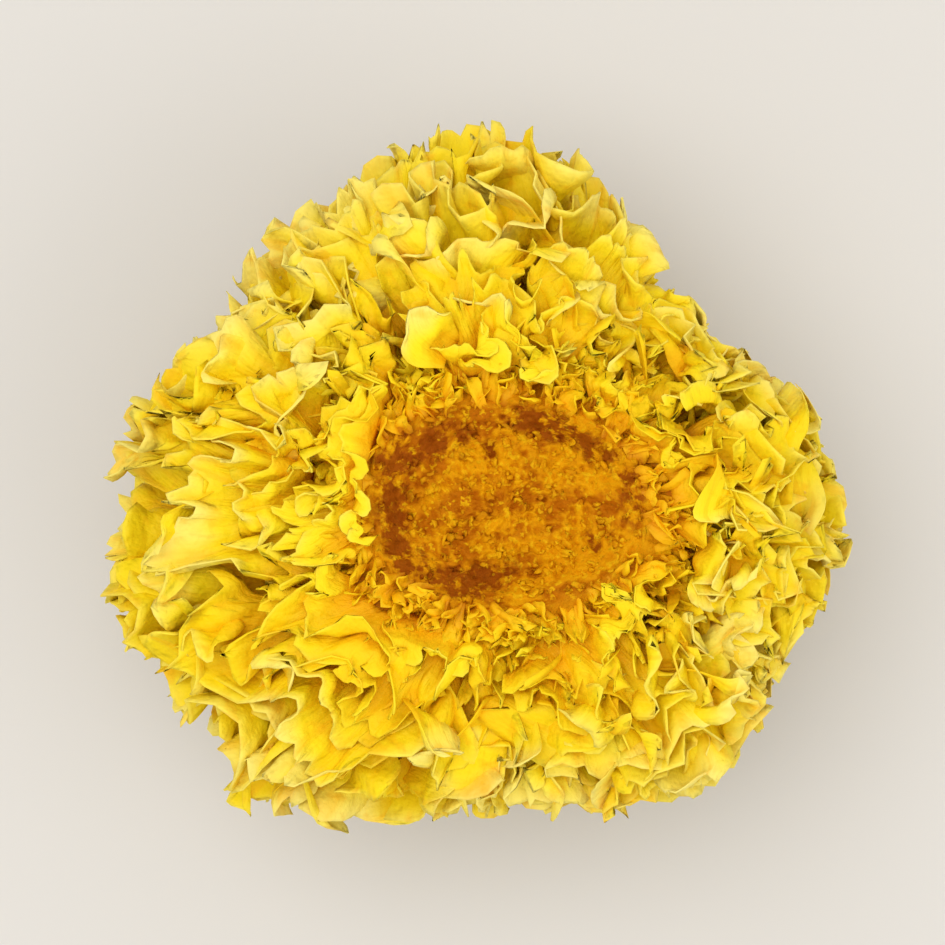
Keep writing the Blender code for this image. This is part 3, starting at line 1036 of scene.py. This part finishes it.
def makeCutGroup():
    # The cut's colours: orange-brown, flecked with gold, darker in its pits, partly darker tissue and
    # partly painted shade, with painted shade in its low places and painted light on its raised ones.
    look = baseLook
    group, enter, leave = makeGroup(
        "cutColour",
        [("Dark", "NodeSocketFloat", 0.0), ("Height", "NodeSocketFloat", 0.0),
         ("Side", "NodeSocketFloat", 0.0), ("Fleck Share", "NodeSocketFloat", 0.0),
         ("Deep", "NodeSocketColor", look["dark"]), ("Brown", "NodeSocketColor", look["brown"]),
         ("Orange", "NodeSocketColor", look["orange"]), ("Fleck", "NodeSocketColor", look["fleck"]),
         ("Skin", "NodeSocketColor", look["skin"])],
        [("Colour", "NodeSocketColor"), ("Grain", "NodeSocketFloat")])
    place = group.nodes.new("ShaderNodeTexCoord").outputs["Object"]
    given = enter.outputs
    broad = addNoise(group, place, look["broadScale"], 3.0)
    grain = addNoise(group, place, look["grainScale"], 4.0, 0.6)
    flecks = addNoise(group, place, look["fleckScale"], 2.0, 0.6)
    # Painted light and shade on the relief: raised places more orange, low places browner.
    raised = addMath(group, "MULTIPLY", given["Height"], look["paintedRaisedLight"])
    level = addMath(group, "ADD", broad, raised)
    orange = addRange(group, level, *look["orangeLevel"])
    colour = addMix(group, orange, given["Brown"], given["Orange"])
    flecks = addRange(group, flecks, *look["flecks"])
    colour = addMix(group, flecks, colour, given["Fleck"])
    skin = addRange(group, given["Side"], *look["skinSide"])
    colour = addMix(group, skin, colour, given["Skin"])
    colour = addMix(group, given["Fleck Share"], colour, given["Fleck"])
    breaks = addNoise(group, place, look["breakScale"], 3.0, 0.65)
    breaks = addRange(group, breaks, *look["breaks"])
    # Dark: the pits' darkness, partly darker tissue and partly painted shade, broken up by noise.
    pits = addMath(group, "MULTIPLY", given["Dark"], breaks)
    grainDark = addMath(group, "MULTIPLY", grain, look["grainDark"])
    pits = addMath(group, "ADD", pits, grainDark)
    # Painted shade and light on the relief: low places darkened, raised places lightened.
    raised = addMath(group, "MULTIPLY", given["Height"], look["paintedHollowShade"])
    pits = addMath(group, "SUBTRACT", pits, raised)
    pits = addRange(group, pits, *look["pits"])
    colour = addMix(group, pits, colour, given["Deep"])
    group.links.new(colour, leave.inputs["Colour"])
    group.links.new(grain, leave.inputs["Grain"])
    return group


def makeBaseMaterial():
    material, tree, shader = newMaterial("base")
    colour = tree.nodes.new("ShaderNodeGroup")
    colour.node_tree = makeCutGroup()
    linkAttributes(tree, (("dark", "Fac", colour.inputs["Dark"]),
                                  ("height", "Fac", colour.inputs["Height"]),
                                  ("side", "Fac", colour.inputs["Side"]),
                                  ("fleck", "Fac", colour.inputs["Fleck Share"])))
    tree.links.new(colour.outputs["Colour"], shader.inputs["Base Color"])
    shader.inputs["Roughness"].default_value = baseLook["roughness"]
    shader.inputs["Specular IOR Level"].default_value = baseLook["specular"]
    bump = tree.nodes.new("ShaderNodeBump")
    bump.inputs["Strength"].default_value = baseLook["grainStrength"]
    bump.inputs["Distance"].default_value = baseLook["grainHeight"]
    tree.links.new(colour.outputs["Grain"], bump.inputs["Height"])
    tree.links.new(bump.outputs["Normal"], shader.inputs["Normal"])
    return material


basePiece = buildBase()
basePiece.data.materials.append(makeBaseMaterial())
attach(basePiece, "root")
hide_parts("base")
print("base triangles", 2 * len(basePiece.data.polygons))

collarMaterial = makeFrondMaterial("frond_collar", 0.15)
frondMaterial = makeFrondMaterial("frond", 0.8)

triangles = buildTier(frondCollar, collarMaterial)
for tier in (frondUpper, frondShoulder, frondSide, frondLower, frondCrown, frondHeart):
    triangles += buildTier(tier, frondMaterial)
print("frond triangles", triangles)


# Floor, light and camera
stage = {
    "floorSize": 30.0,
    "floorColour": (0.66, 0.64, 0.61, 1.0),
    "floorRoughness": 0.7,
    "worldColour": (1.0, 0.975, 0.935, 1.0),
    "worldStrength": 0.85,
    "keyPlace": (-0.15, 0.06, 0.55),
    "keySize": 0.42,
    "keyPower": 1.25,
    "fillPlace": (0.36, -0.20, 0.35),
    "fillSize": 0.45,
    "fillPower": 0.5,
    "cameraHeight": 0.32,
    "cameraTilt": 1.0,
    "lens": 140.0,
    "nearest": 0.01,
    "middle": (0.0, 0.0, 0.018),
}


def addLight(name, place, size, power, target):
    light = bpy.data.lights.new(name, "AREA")
    light.size = size
    light.energy = power
    lamp = bpy.data.objects.new(name, light)
    bpy.context.scene.collection.objects.link(lamp)
    lamp.location = place
    lamp.rotation_euler = (target - Vector(place)).to_track_quat("-Z", "Y").to_euler()
    return lamp


def buildStage():
    scene = bpy.context.scene
    half = stage["floorSize"] / 2.0
    mesh = bpy.data.meshes.new("floor")
    corners = [(-half, -half, 0.0), (half, -half, 0.0), (half, half, 0.0), (-half, half, 0.0)]
    mesh.from_pydata(corners, [], [(0, 1, 2, 3)])
    floor = bpy.data.objects.new("floor", mesh)
    scene.collection.objects.link(floor)
    material, tree, shader = newMaterial("floor")
    shader.inputs["Base Color"].default_value = stage["floorColour"]
    shader.inputs["Roughness"].default_value = stage["floorRoughness"]
    mesh.materials.append(material)
    world = bpy.data.worlds.new("studio")
    scene.world = world
    world.use_nodes = True
    background = world.node_tree.nodes["Background"]
    background.inputs["Color"].default_value = stage["worldColour"]
    background.inputs["Strength"].default_value = stage["worldStrength"]
    middle = Vector(stage["middle"])
    addLight("key", stage["keyPlace"], stage["keySize"], stage["keyPower"], middle)
    addLight("fill", stage["fillPlace"], stage["fillSize"], stage["fillPower"], middle)
    camera = bpy.data.cameras.new("camera")
    camera.lens = stage["lens"]
    camera.clip_start = stage["nearest"]
    view = bpy.data.objects.new("camera", camera)
    scene.collection.objects.link(view)
    tilt = math.radians(stage["cameraTilt"])
    view.location = middle + Vector((0.0, -math.sin(tilt), math.cos(tilt))) * stage["cameraHeight"]
    view.rotation_euler = (tilt, 0.0, 0.0)
    scene.camera = view
    scene.view_settings.view_transform = "Standard"


buildStage()
print("stage set")
